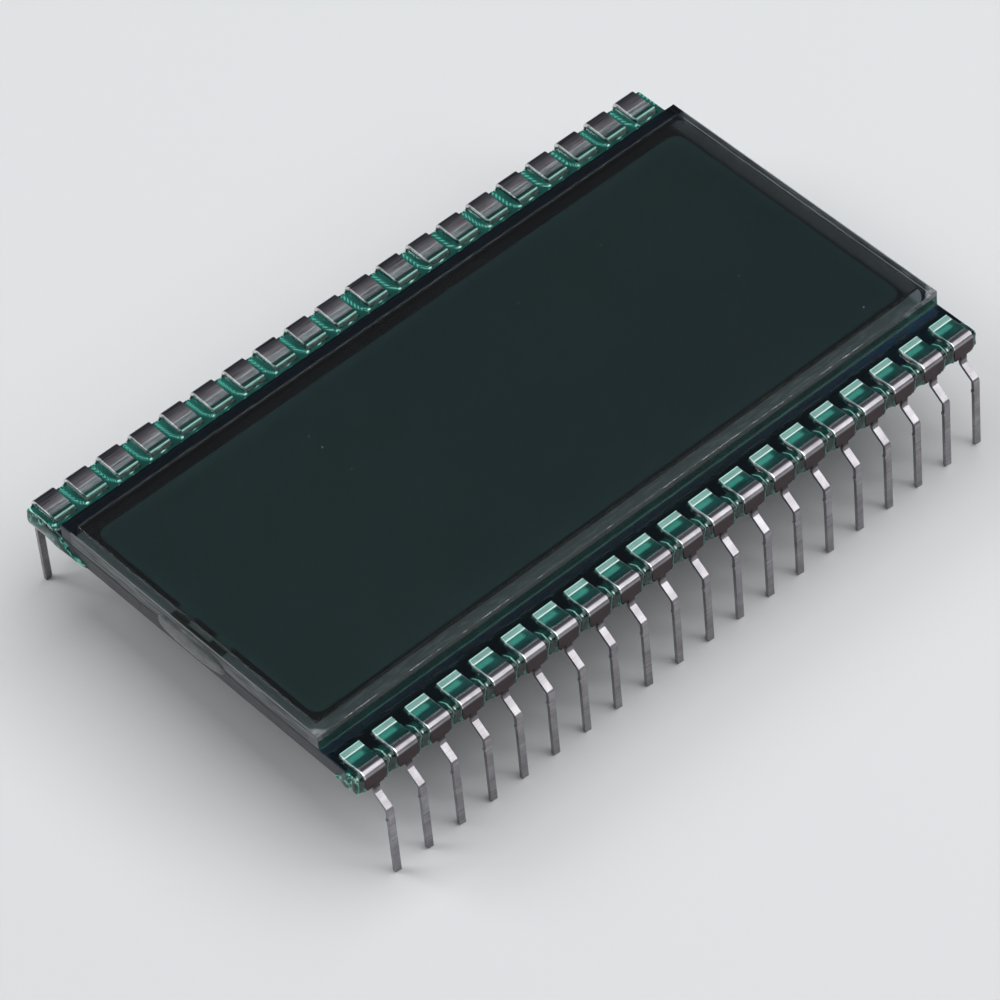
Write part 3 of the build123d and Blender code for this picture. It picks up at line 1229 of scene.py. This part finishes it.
@dataclass
class ResinBead:
    """Teal resin of one row: foot film, lobes before the finger tips, bank between the clips, and skirt."""

    side: Side
    finish: bpy.types.Material
    seed: int
    lobe_height: float
    bank_rise: float
    film_end: Point2
    count: int = 20
    bank_v: Point2 = (13.9, 14.8)
    bank_bow: float = 0.15
    meniscus: Point2 = (0.03, 0.05)
    # Milky band along the foot of the front glass: thick resin, brightened by a painted glow.
    foot_glow: Point3 = (0.16, 0.62, 0.12)
    # Painted highlights along the left edge of each near finger, with white glints at the contact line and at
    # the bend.
    edge_v: Point2 = (13.1, 13.3)
    edge_half: float = 0.035
    glints: tuple[Point2, ...] = ((13.67, 0.04), (15.0, 0.12))
    band_height: float = 0.035
    spot_height: float = 0.04
    # Length of the painted shadow under a far finger tip.
    shaded_run: float = 0.2
    pitch: float = 2.54
    gap_columns: int = 14
    clip_columns: int = 7
    half_clip: float = 0.8
    foot_v: float = 11.96
    foot_rise: float = 0.74
    foot_run: float = 0.06
    film: float = -0.02
    tip_v: float = 13.24
    glass_v: float = 15.24
    ledge_z: float = 8.25
    floor_z: float = 8.235
    contact_v: float = 13.7
    finger_top: float = 8.5
    rise_before: float = 0.163
    rise_beyond: float = 0.0583
    cover: float = 0.022
    cover_fall: float = 0.09
    skirt_z: float = 6.95
    hidden_z: float = 7.3
    hidden_out: float = 0.045
    lower_lip: float = 0.15
    half_length: float = 25.36
    shoulder: float = 0.24
    lobe: float = 0.8
    pin_spread: float = 0.12
    reach_spread: float = 0.22
    reach_length: float = 1.1
    full_spread: float = 0.3
    full_length: float = 2.3
    dash_length: float = 0.31
    end_start: float = 25.0
    end_width: float = 0.4
    # The near row's painted highlights: a bright line that curves down between the clips, on a low ridge, and
    # a bright dot on the shoulder.
    line_along: tuple[float, ...] = (14.1, 14.3, 14.66, 15.18, 16.2)
    line_run: tuple[float, ...] = (0.72, 0.57, 0.46, 0.53, 0.76)
    line_half: float = 0.04
    line_height: float = 0.04
    dot_place: Point2 = (0.33, 15.27)
    dot_size: Point2 = (0.055, 0.08)
    # The far row's band of painted highlights, on lumpy ridges beside each finger.
    band_along: tuple[float, ...] = (12.9, 13.1, 13.4, 13.7, 14.7)
    band_run: tuple[float, ...] = (0.1, 0.26, 0.43, 0.55, 0.59)
    band_half: float = 0.14
    band_start: Point2 = (12.85, 13.0)
    white_v: float = 13.69
    pale_end: float = 13.66
    inset_start: Point2 = (13.76, 13.86)
    inset_end: Point2 = (14.2, 14.36)
    fade_v: Point2 = (14.85, 15.15)
    # Painted highlights before the far tips, each on a small bump.
    spots: tuple[Spot, ...] = (
        Spot(0.06, 13.0, 0.17, 0.04, 1.0),
        Spot(-0.95, 13.03, 0.12, 0.06, 0.9),
        Spot(-1.2, 12.76, 0.14, 0.06, 0.55),
        Spot(0.3, 12.58, 0.05, 0.04, 0.7),
        Spot(-0.05, 12.76, 0.16, 0.05, 0.5),
        Spot(-0.35, 12.9, 0.07, 0.04, 0.6),
    )
    _aside: np.ndarray = field(init=False, repr=False)
    _beside: np.ndarray = field(init=False, repr=False)
    _over: np.ndarray = field(init=False, repr=False)
    _run: np.ndarray = field(init=False, repr=False)
    _reach: np.ndarray = field(init=False, repr=False)
    _full: np.ndarray = field(init=False, repr=False)
    _dash: np.ndarray = field(init=False, repr=False)
    _end: np.ndarray = field(init=False, repr=False)

    def build(self) -> bpy.types.Object:
        """Build the bead.

        Returns:
            The bead's object.
        """
        x = self._columns()
        self._measure(x)
        v_rows = self._rows()
        lines = [self._top(x, v) for v in v_rows]
        rows = len(lines)
        bare = np.array([line[0][:, 2] <= self.floor_z + 1e-6 for line in lines])
        lines += self._skirt(x, lines[-1][0][:, 2])
        plain = np.tile([0.0, 1.0, 0.0], (len(x), 1))
        back = np.full_like(x, self.glass_v + 0.01)
        floor = np.full_like(x, self.floor_z)
        lines += [
            (np.column_stack([x, back, lines[-1][0][:, 2]]), plain),
            (np.column_stack([x, back, floor]), plain),
        ]
        bottom = len(lines)
        lines += [(np.column_stack([x, np.full_like(x, v), floor]), plain) for v in v_rows[::-1]]
        faces = self._faces(bare, rows, bottom, len(lines))
        name = f"resin_bead_{self.side.name.lower()}"
        mesh = bpy.data.meshes.new(name)
        mesh.from_pydata((np.vstack([line[0] for line in lines]) * MM).tolist(), [], faces)
        paint_resin(mesh, np.vstack([line[1] for line in lines]))
        with edited(mesh) as build:
            loose = [vert for vert in build.verts if not vert.link_faces]
            bmesh.ops.delete(build, geom=loose, context="VERTS")
            bmesh.ops.remove_doubles(build, verts=build.verts, dist=TOUCH * MM)
            bmesh.ops.recalc_face_normals(build, faces=build.faces)
        if self.side is Side.NEAR:
            mesh.transform(Matrix.Rotation(math.pi, 4, "Z"))
        return finished(f"{name}_wet", mesh, self.finish, 50, Slot.RESIN, name)

    def _measure(self, x: np.ndarray) -> None:
        """Work out what every line needs at its places: where the clips lie, and the uneven swells.

        Args:
            x: places along the row.
        """
        self._aside = ((x / self.pitch + self.count / 2) % 1 - 0.5) * self.pitch
        self._beside = np.clip(np.abs(self._aside) - self.half_clip, 0, None)
        self._over = np.abs(self._aside) < self.half_clip - 0.01
        lit = -1 if self.side is Side.FAR else 1
        run = (lit * x / self.pitch + self.count / 2 - 0.5) % 1 * self.pitch - self.half_clip
        self._run = np.where(run < self.pitch - 2 * self.half_clip + 0.001, np.maximum(run, 0), 9.0)
        rng = np.random.default_rng(self.seed)
        cell = np.clip(np.floor(x / self.pitch + self.count / 2), 0, self.count - 1).astype(int)
        per_cell = 1 + self.pin_spread * (rng.random(self.count) - 0.5)
        reach = self._swell(rng, x, self.reach_length) - 0.5
        self._reach = (1 + self.reach_spread * reach) * per_cell[cell]
        self._full = 1 + self.full_spread * (self._swell(rng, x, self.full_length) - 0.5)
        self._dash = self._swell(rng, x, self.dash_length)
        past = ((np.abs(x) - self.end_start) / self.end_width).clip(0, 1)
        self._end = np.sqrt(np.clip(1 - past**2, 0, 1))

    def _rows(self) -> np.ndarray:
        """Distances from the middle plane of the top's lines, close together at the foot and the tips.

        Returns:
            The distances, from the front glass outward.
        """
        return np.concatenate(
            [
                self.foot_v + self.foot_run * np.linspace(0, 1, 11) ** 2,
                np.linspace(self.foot_v + self.foot_run + 0.05, 12.42, 3),
                np.linspace(12.46, 13.2, 18),
                [13.23, 13.25, 13.29, 13.4, 13.5, 13.58, 13.62, 13.65, 13.68, 13.71, 13.74, 13.8],
                np.linspace(13.9, 15.1, 14),
            ]
        )

    @staticmethod
    def _faces(bare: np.ndarray, rows: int, bottom: int, total: int) -> list[tuple[int, ...]]:
        """Faces between the lines, which run once round the bead, without the bare spots of the ledge.

        Args:
            bare: whether the top's points lie on the ledge, one row for each line.
            rows: lines of the top.
            bottom: number of the underside's first line.
            total: lines in all.

        Returns:
            Vertex numbers of each face.
        """
        wide = bare.shape[1]
        faces = []
        for r in range(total):
            row = r if r < rows - 1 else total - 2 - r if bottom <= r < total - 1 else None
            after = (r + 1) % total
            for c in range(wide - 1):
                if row is None or not bare[row : row + 2, c : c + 2].all():
                    faces.append((r * wide + c, r * wide + c + 1, after * wide + c + 1, after * wide + c))
        for c in (0, wide - 1):
            for r in range(rows - 1):
                if not bare[r : r + 2, c].all():
                    under = total - 1 - r
                    faces.append((r * wide + c, (r + 1) * wide + c, (under - 1) * wide + c, under * wide + c))
            faces.append(tuple(r * wide + c for r in range(rows - 1, bottom + 1)))
        return faces

    def _columns(self) -> np.ndarray:
        """Places along the row: close together between the clips and wide apart over them.

        Returns:
            The places, from the left end to the right.
        """
        gap = np.linspace(0, 1, self.gap_columns) * (self.pitch / 2 - self.half_clip)
        over = self.pitch / 2 - self.half_clip + 0.03
        clip = np.linspace(over, self.pitch - over, self.clip_columns)
        one = np.concatenate([gap, clip, (self.pitch - gap[1:])[::-1]])
        row = [one + (index - self.count / 2) * self.pitch for index in range(self.count)]
        places = np.unique(np.round(np.concatenate(row), 4))
        inner = places[np.abs(places) < self.half_length]
        return np.concatenate([[-self.half_length], inner, [self.half_length]])

    @staticmethod
    def _swell(rng: np.random.Generator, x: np.ndarray, length: float) -> np.ndarray:
        """Smooth random values from 0 to 1 along x, with a given length of swell."""
        knots = np.arange(x[0] - length, x[-1] + 2 * length, length)
        return np.interp(x, knots, rng.random(len(knots)))

    def _highlight_line(self, along: float) -> np.ndarray:
        """Share of the painted highlight line that curves down between the clips.

        Args:
            along: how far along its way, as v on the top and 15.2 and more down the skirt.

        Returns:
            The share at each place of the row.
        """
        centre = np.interp(along, self.line_along, self.line_run)
        start = float(smooth(np.array(along), self.line_along[0], self.line_along[1]))
        return start * np.exp(-(((self._run - centre) / self.line_half) ** 2))

    def _highlight_dot(self, v: float | np.ndarray) -> np.ndarray:
        """Share of the round painted highlight on the shoulder, left of a clip."""
        beside = ((self._run - self.dot_place[0]) / self.dot_size[0]) ** 2
        return np.exp(-beside - ((v - self.dot_place[1]) / self.dot_size[1]) ** 2)

    def _highlight_band(self, v: float) -> np.ndarray:
        """Share of the lumpy band of painted highlights that runs beside a far finger and closes in at its
        tip.

        Args:
            v: distance from the middle plane.

        Returns:
            The share at each place of the row.
        """
        centre = np.interp(v, self.band_along, self.band_run)
        start = float(smooth(np.array(v), *self.band_start))
        share = np.exp(-(((self._run - centre) / self.band_half) ** 2)) * start
        lumps = 0.5 + 0.5 * np.sin(19 * v + 22 * self._dash + 5 * self._full)
        return share * (0.2 + 0.8 * lumps**2)

    def _spots(self, v: float) -> np.ndarray:
        """Share of the small beads of light before a far tip, each pin's a little different.

        Args:
            v: distance from the middle plane.

        Returns:
            The share at each place of the row.
        """
        share = np.zeros_like(self._aside)
        for spot in self.spots:
            beyond = v - spot.v + 0.12 * (self._dash - 0.5)
            away = ((self._aside - spot.aside) / spot.wide) ** 2 + (beyond / spot.tall) ** 2
            share = np.maximum(share, spot.strength * np.exp(-(away**2)))
        return share * (0.55 + 0.45 * smooth(self._dash, 0.2, 0.5))

    def _top(self, x: np.ndarray, v: float) -> tuple[np.ndarray, np.ndarray]:
        """One line of the wet surface along the row.

        Args:
            x: places along the row.
            v: distance from the middle plane.

        Returns:
            Points of the line and their paint.
        """
        before = max(self.tip_v - v, 0.0)
        distance = np.hypot(self._beside, before)
        across = np.clip((v - self.foot_v) / self.foot_run, 0, 1)
        foot = self.foot_rise * (1 - math.sqrt(across)) ** 1.6
        meniscus = self.meniscus[0] * np.exp(-distance / self.meniscus[1])
        lobe = np.clip(1 - (distance / (self.lobe * self._reach)) ** 10, 0, 1)
        dome = self.lobe_height * np.sqrt(lobe)
        bank = self.bank_rise * smooth(np.array(v - self.bank_bow * self._beside), *self.bank_v)
        # Milkiness: the foot film, a painted glow along the front glass, and the thicker bank.
        glow, place, half = self.foot_glow
        milky = (0.12 + 0.1 * across) * (across < 1) + glow * math.exp(-(((across - place) / half) ** 2))
        milky = milky + 0.08 * float(smooth(np.array(v), 14.1, 14.8))
        # Painted highlight along the left edge of each near finger.
        edge = np.exp(-((self._run / self.edge_half) ** 2)) * float(smooth(np.array(v), *self.edge_v))
        if self.side is Side.NEAR:
            # Near row: painted highlights as a line on a low ridge, white glints and a dot, in milkiness and
            # highlight.
            line = self._highlight_line(v)
            glint = edge * max(math.exp(-(((v - place) / half) ** 2)) for place, half in self.glints)
            ridges = self.line_height * line
            dot = self._highlight_dot(v)
            milky = milky + 0.6 * line + 0.1 * edge + 0.8 * glint + dot
            lip = line**2 + 1.8 * glint + 2 * dot
            tint = np.ones_like(x)
        else:
            # Far row: painted highlights in a band and in spots, each on a low ridge.
            band, spots = self._highlight_band(v), self._spots(v)
            ridges = self.band_height * band + self.spot_height * spots
            # Painted shadow under each far tip: less milky, with the painted shade colour.
            shaded = (np.abs(self._aside) < self.half_clip) * math.exp(-((before / self.shaded_run) ** 2))
            milky = milky + 0.2 * lobe * (1 - shaded) + 0.8 * band + spots
            lip = 0.4 * band**2 + 1.8 * spots**1.5
            tint = 1 + shaded
        height = self.film + foot + (meniscus + ridges + np.maximum(dome, bank) * self._full) * self._end
        beyond = v - self.contact_v
        metal = self.finger_top + max(self.rise_beyond * beyond, -self.rise_before * beyond)
        cover = self.cover - self.cover_fall * float(smooth(np.array(v), *self.film_end))
        on_metal = self._over & (v > self.tip_v)
        z = np.where(on_metal, metal + cover, np.maximum(self.ledge_z + height, self.floor_z))
        paint = np.column_stack([milky, tint, lip])
        paint[on_metal] = self._finger_paint(v)[on_metal]
        return np.column_stack([x, np.full_like(x, v), z]), paint

    def _finger_paint(self, v: float) -> np.ndarray:
        """Paint of the resin over a finger.

        A far finger has a white painted highlight at its tip. A near one has a pale painted highlight on its
        tip, a white painted highlight at the contact line, a teal inset, and its tint fades towards the bend.

        Args:
            v: distance from the middle plane.

        Returns:
            Milkiness, tint and painted highlight at each place of the row.
        """
        none = np.zeros_like(self._dash)
        if self.side is Side.FAR:
            # Painted white highlight at the far tip.
            line = math.exp(-(((v - self.tip_v - 0.02) / 0.035) ** 2))
            tint = 1.0 if v < 13.6 else 0.12
            return np.column_stack([none + 0.95 * line, none + tint, none + 2 * line])
        fade = smooth(v + 0.15 * self._dash, *self.fade_v)
        contact = math.exp(-(((v - self.white_v) / 0.05) ** 2))
        tint = (1 - fade) * (1 - 0.6 * contact)
        # Painted highlights: pale on the tip strip, white at the contact line.
        pale = max(0.55 * (v < self.pale_end), 2.0 * contact)
        place = np.array(v)
        band = float(smooth(place, *self.inset_start) - smooth(place, *self.inset_end))
        inside = smooth(self._aside, -0.5, -0.42) * band
        return np.column_stack([0.5 * inside + 0.95 * contact, tint, none + pale + 0.08 * inside])

    def _skirt(self, x: np.ndarray, top: np.ndarray) -> list[tuple[np.ndarray, np.ndarray]]:
        """Lines down the glass edge: a round shoulder, a hollowed face and a drawn-in lower rim.

        Args:
            x: places along the row.
            top: height of the bank's last line.

        Returns:
            Points and paint of each line, from the shoulder down.
        """
        low = self.skirt_z + 0.18 * (1 - np.exp(-self._beside / 0.3)) * (1.2 - 0.4 * self._full)
        low = np.where(self._over, self.hidden_z, low)
        start = np.where(self._over, self.ledge_z - 0.02, top)
        # Painted highlight beside the left side of each clip, down the skirt.
        edge = np.exp(-((self._run / 0.05) ** 2))
        lines = []

        def add(v: np.ndarray, z: np.ndarray, down: float) -> None:
            """Add a line to the skirt.

            Args:
                v: its distances from the middle plane.
                z: its heights.
                down: share of the way down, for its paint.
            """
            # Painted highlights down the skirt: the line, the dot and the edge; the skirt's tint of 1.8 is
            # painted shade.
            line = self._highlight_line(15.2 + down)
            dot = self._highlight_dot(v) * (down < 0.1)
            milky = np.where(self._over, 0.1, 0.02 + 0.05 * down + 0.5 * line + 0.4 * edge + dot)
            lip = np.where(self._over, 0, (0.9 - 0.5 * down) * line**2 + 0.45 * edge + 2 * dot)
            paint = np.column_stack([milky, np.full_like(x, 1.8), lip])
            lines.append((np.column_stack([x, v, z]), paint))

        def out(down: float) -> np.ndarray:
            """How far the skirt stands off the glass.

            Args:
                down: share of the way down.

            Returns:
                The distance at each place of the row.
            """
            ridge = self.line_height * self._highlight_line(15.2 + down)
            proud = 0.1 + (0.15 * np.exp(-self._beside / 0.16) + 0.03) * self._full * (0.4 + 0.6 * self._end)
            return np.where(self._over, self.hidden_out, proud + ridge)

        for angle in np.linspace(0.2, 1, 6) * math.pi / 2:
            v = self.glass_v - 0.1 + (out(0.0) + 0.1) * math.sin(angle)
            add(v, start - self.shoulder * (1 - math.cos(angle)), 0.0)
        for share in (0.2, 0.4, 0.6, 0.8):
            z = (start - self.shoulder) * (1 - share) + (low + self.lower_lip) * share
            add(self.glass_v + out(share) * (1 - 0.25 * math.sin(math.pi * share)), z, share)
        for angle in np.linspace(0, 1, 4) * math.pi / 2:
            v = self.glass_v + out(1.0) * math.cos(angle) * 0.98 + 0.01
            add(v, low + self.lower_lip * (1 - math.sin(angle)), 1.0)
        return lines


@dataclass
class EndRun:
    """Resin that ran off the end of a row and set in lumps on the glass's end."""

    side: Side
    finish: bpy.types.Material
    reach: float
    seed: int
    glass_end: float = 25.4
    outer_v: float = 15.47
    inner_v: float = 15.24
    top: float = 8.44
    foot: float = 6.98
    bulge: float = 0.27
    steps: int = 60
    around: int = 14
    end_top: float = 7.35
    drop_from: float = 0.42
    end_lift: float = 0.2
    lap: float = 0.03
    wave: float = 0.16
    stretch: Point3 = (2.2, 1.5, 3.4)
    milk: Point2 = (0.12, 0.95)
    milk_fall: float = 4.0
    # Painted highlight streaks where the swirl is weak.
    highlight_from: float = 0.9
    highlight_fall: float = 9

    def build(self) -> bpy.types.Object:
        """Build the run.

        Returns:
            The run's object.
        """
        rng = np.random.default_rng(self.seed)
        along = np.linspace(0, 1, self.steps)
        lumps = np.interp(along * 9, np.arange(11), rng.random(11))
        lumps = np.convolve(np.pad(lumps, 3, mode="edge"), np.ones(7) / 7, mode="valid")
        v = self.outer_v - along * (self.reach + self.outer_v - self.inner_v)
        fade = np.sqrt(np.clip(1 - along**4, 0, 1)) * np.sqrt(np.clip(along / 0.05, 0, 1))
        high = self.top - (self.top - self.end_top) * smooth(along, self.drop_from, 1.0)
        low = self.foot + self.end_lift * smooth(along, 0.5, 1.0) + 0.1 * (1 - lumps)
        out = self.bulge * fade * (0.55 + 0.45 * lumps) + 0.01
        rings = []
        for index in range(self.steps):
            middle = (high[index] + low[index]) / 2
            half = (high[index] - low[index]) / 2 * max(0.02, fade[index])
            angle = np.linspace(0, math.pi, self.around)
            wave = 1 + self.wave * np.sin(3 * angle + 8 * along[index] + 4 * lumps[index])
            x = -self.glass_end + self.lap - (out[index] + self.lap) * np.sin(angle) ** 0.7 * wave
            rings.append(np.column_stack([x, np.full(self.around, v[index]), middle + half * np.cos(angle)]))
        points = np.vstack(rings)
        wide = self.around
        faces = [
            (r * wide + c, r * wide + (c + 1) % wide, (r + 1) * wide + (c + 1) % wide, (r + 1) * wide + c)
            for r in range(self.steps - 1)
            for c in range(wide)
        ]
        faces += [tuple(range(wide)), tuple(range((self.steps - 1) * wide, self.steps * wide))[::-1]]
        points[:, 1] *= self.side.value
        mesh = mesh_from("run", points, faces)
        stretch = Matrix.Diagonal(self.stretch) * (1 / MM)
        swirl = [noise.noise(stretch @ vertex.co + Vector((self.seed, 0, 0))) for vertex in mesh.vertices]
        swirl = np.abs(np.array(swirl))
        milky = np.clip(1.0 - self.milk_fall * swirl, *self.milk)
        # Painted highlight streaks along the swirl.
        lip = np.clip(self.highlight_from - self.highlight_fall * swirl, 0, 1)
        paint_resin(mesh, np.column_stack([milky, np.ones(len(swirl)), lip]))
        return finished(f"resin_run_{self.side.name.lower()}", mesh, self.finish, 60, Slot.RESIN)


@dataclass(frozen=True)
class SoftBox:
    """Rectangular lamp that faces a point, with its lengths in millimetres and its power in watts."""

    name: str
    place: Point3
    aim: Point3
    wide: float
    tall: float
    power: float

    def build(self) -> None:
        """Put the lamp into the scene."""
        lamp = bpy.data.lights.new(self.name, "AREA")
        lamp.shape = "RECTANGLE"
        lamp.size, lamp.size_y = self.wide * MM, self.tall * MM
        lamp.energy = self.power
        holder = bpy.data.objects.new(self.name, lamp)
        holder.location = Vector(self.place) * MM
        facing = Vector(self.aim) - Vector(self.place)
        holder.rotation_euler = facing.to_track_quat("-Z", "Y").to_euler()
        bpy.context.scene.collection.objects.link(holder)


@dataclass
class Studio:
    """Pale floor, soft boxes and the camera."""

    floor_finish: bpy.types.Material
    azimuth: float = -37.55
    elevation: float = 47.48
    roll: float = -5.91
    distance: float = 375.3
    target: Point3 = (-3.96, -3.87, 7.0)
    lens: float = 222.0
    sky: Colour = (0.11, 0.115, 0.125)
    floor_half: float = 2.0
    lamps: tuple[SoftBox, ...] = (
        SoftBox("overhead", (175, -110, 400), (175, -110, 0), 560, 620, 2.5),
        SoftBox("back_left", (-200, 240, 280), (0, 0, 0), 220, 180, 0.75),
        SoftBox("front", (198, -348, 251), (0, 0, 0), 160, 120, 0.32),
    )

    def build(self) -> None:
        """Build the floor, the lights and the camera."""
        self._floor()
        self._sky()
        for lamp in self.lamps:
            lamp.build()
        self._camera()

    def _floor(self) -> None:
        """Floor that the leg tips stand on."""
        mesh = bpy.data.meshes.new("floor")
        with edited(mesh) as build:
            bmesh.ops.create_grid(build, x_segments=1, y_segments=1, size=self.floor_half)
        floor = add_object("floor", mesh)
        floor.data.materials.append(self.floor_finish)

    def _sky(self) -> None:
        """Even dim surroundings."""
        world = bpy.data.worlds.new("surroundings")
        world.use_nodes = True
        world.node_tree.nodes["Background"].inputs["Color"].default_value = (*self.sky, 1)
        bpy.context.scene.world = world

    def _camera(self) -> None:
        """Camera at the photograph's angle."""
        turn, lift, roll = (math.radians(value) for value in (self.azimuth, self.elevation, self.roll))
        back = Vector((math.sin(turn) * math.cos(lift), -math.cos(turn) * math.cos(lift), math.sin(lift)))
        level = Vector((math.cos(turn), math.sin(turn), 0))
        rise = back.cross(level)
        right = level * math.cos(roll) + rise * math.sin(roll)
        up = back.cross(right)
        data = bpy.data.cameras.new("camera")
        data.lens = self.lens
        data.sensor_width = 36
        data.clip_start, data.clip_end = 0.01, 10
        camera = bpy.data.objects.new("camera", data)
        pose = Matrix((right, up, back)).transposed().to_4x4()
        pose.translation = (Vector(self.target) + back * self.distance) * MM
        camera.matrix_world = pose
        bpy.context.scene.collection.objects.link(camera)
        bpy.context.scene.camera = camera
        bpy.context.scene.view_settings.view_transform = "Standard"


def main() -> None:
    """Build every sub-assembly in order."""
    logging.basicConfig(level=logging.INFO, format="%(message)s")
    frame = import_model()
    tin = TinnedSheet().build()
    resin = TealResin().build()
    # Rear glass: its dark navy tint and a little diffuse navy are painted shade for the dark seen through the
    # ledge, and the brighter blue of the near half is painted light where the floor below lies in shadow.
    rear = CellGlass(
        "rear_cell_glass",
        tint=(0.002, 0.02, 0.06),
        shaded_tint=(0.003, 0.012, 0.032),
        shaded_y=0.0,
        clarity=0.86,
    ).build()
    # Front glass: the dark tint beyond shaded_y is painted shade on the far margin.
    front = CellGlass(
        "front_cell_glass",
        tint=(0.5, 0.55, 0.56),
        shaded_y=11.05,
        scribed_y=-11.96,
        corner=(36.3, 36.7),
    ).build()
    GlassPlate("rear_glass", rear, seed=11).build()
    GlassPlate("front_glass", front, seed=12).build()
    PolarizerFilms(FilmFinish().build()).build()
    Cell(frame["nodes"], DarkCell().build(), SealBorder().build(), PlugFinish().build()).build()
    bead_sizes = {
        Side.NEAR: {"lobe_height": 0.03, "bank_rise": 0.13, "film_end": (14.9, 15.1)},
        Side.FAR: {"lobe_height": 0.07, "bank_rise": 0.05, "film_end": (14.2, 14.32)},
    }
    run_reach = {Side.NEAR: 1.9, Side.FAR: 5.6}
    for side in Side:
        PinRow(side, tin, seed=3 + side.value).build()
        ResinBead(side, resin, seed=21 + side.value, **bead_sizes[side]).build()
        EndRun(side, resin, reach=run_reach[side], seed=31 + side.value).build()
    Studio(PaleFloor().build()).build()
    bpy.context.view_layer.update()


if __name__ == "__main__":
    main()
